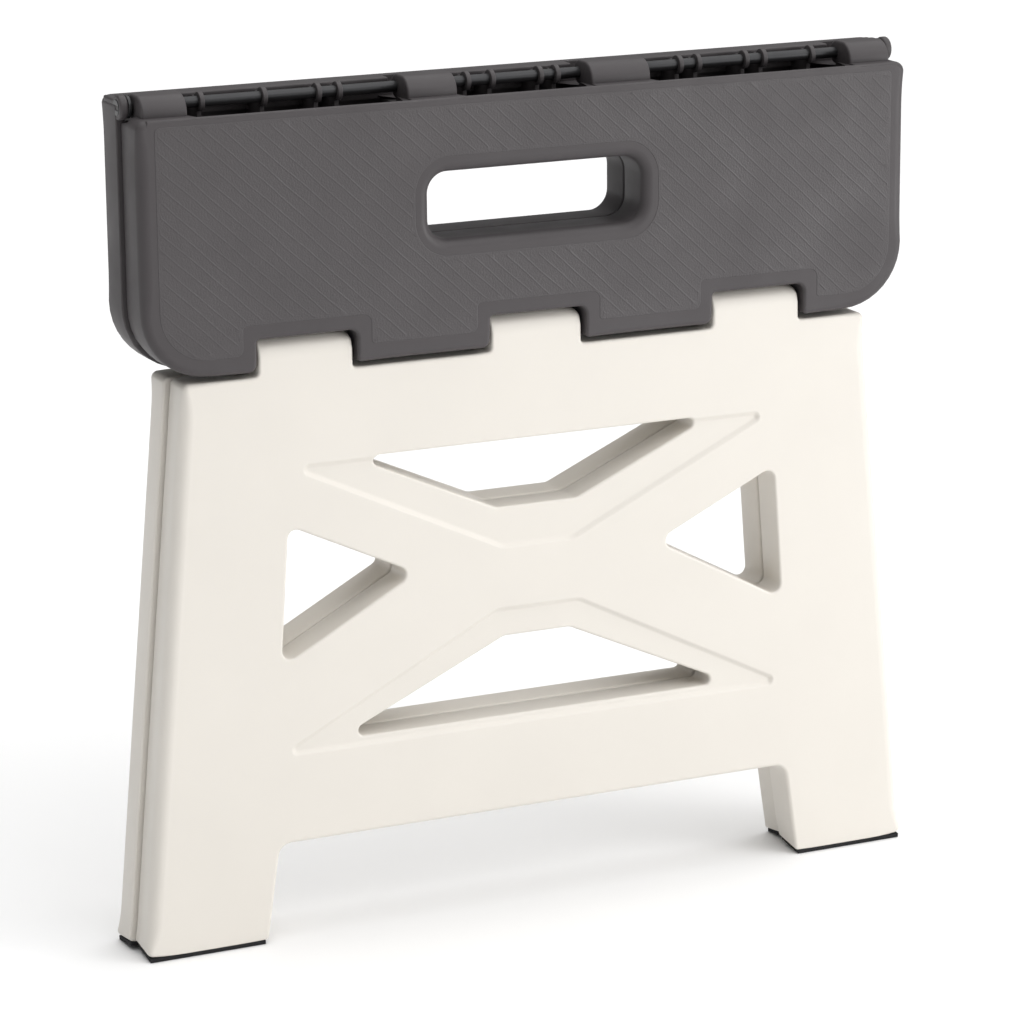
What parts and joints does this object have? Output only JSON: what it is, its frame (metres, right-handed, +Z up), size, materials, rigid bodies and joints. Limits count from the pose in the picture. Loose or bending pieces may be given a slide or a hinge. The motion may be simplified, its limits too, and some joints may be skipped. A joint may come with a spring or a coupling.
{
  "type": "folding step stool",
  "caption": "Folding step stool folded flat: grey textured step halves hinged along the top edge with a handle slot, over off-white leg panels with a cross brace and an arch.",
  "frame": {"origin": "middle of the folded stool's footprint, on the floor", "axes": "+X along the hinge to the right, +Y from the front half to the rear half, +Z up"},
  "size_m": [0.3136, 0.033, 0.3103],
  "materials": {
    "grey_shell": "fine grain, warm charcoal grey",
    "grip_skin": "leather-like grain with thin diagonal ridges",
    "white_shell": "satin, warm off-white",
    "pad_rubber": "matte black",
    "rod_steel": "dark oxide wire",
    "black_trim": "satin black",
    "grey_trim": "satin charcoal grey"
  },
  "bodies": {
    "rear_leg_body": {"rear_leg": "white_shell", "rear_pad_left": "pad_rubber", "rear_pad_right": "pad_rubber"},
    "rear_step_body": {"rear_step": "grey_shell", "rear_grip": "grip_skin", "hinge_rod": "rod_steel", "hinge_plug_left": "black_trim", "hinge_plug_right": "black_trim", "hinge_washer_left": "black_trim", "hinge_washer_right": "black_trim", "rear_leg_rod": "rod_steel", "rear_rod_plug_left": "grey_trim", "rear_rod_plug_right": "grey_trim"},
    "front_step_body": {"front_step": "grey_shell", "front_grip": "grip_skin", "front_leg_rod": "rod_steel", "front_rod_plug_left": "grey_trim", "front_rod_plug_right": "grey_trim"},
    "front_leg_body": {"front_leg": "white_shell", "front_pad_left": "pad_rubber", "front_pad_right": "pad_rubber"}
  },
  "joints": [
    {"name": "rear_leg_hinge", "type": "hinge", "parent": "rear_leg_body", "child": "rear_step_body", "pos_m": [0, 0.0075, 0.216], "axis": [1, 0, 0], "range_deg": [0, 82]},
    {"name": "middle_hinge", "type": "hinge", "parent": "rear_step_body", "child": "front_step_body", "pos_m": [0, 0, 0.30605], "axis": [-1, 0, 0], "range_deg": [0, 180]},
    {"name": "front_leg_hinge", "type": "hinge", "parent": "front_step_body", "child": "front_leg_body", "pos_m": [0, -0.0075, 0.216], "axis": [1, 0, 0], "range_deg": [0, 82]}
  ],
  "couplings": [
    {"joint": "rear_leg_hinge", "follows": "middle_hinge", "ratio": 0.45556},
    {"joint": "front_leg_hinge", "follows": "middle_hinge", "ratio": 0.45556}
  ]
}
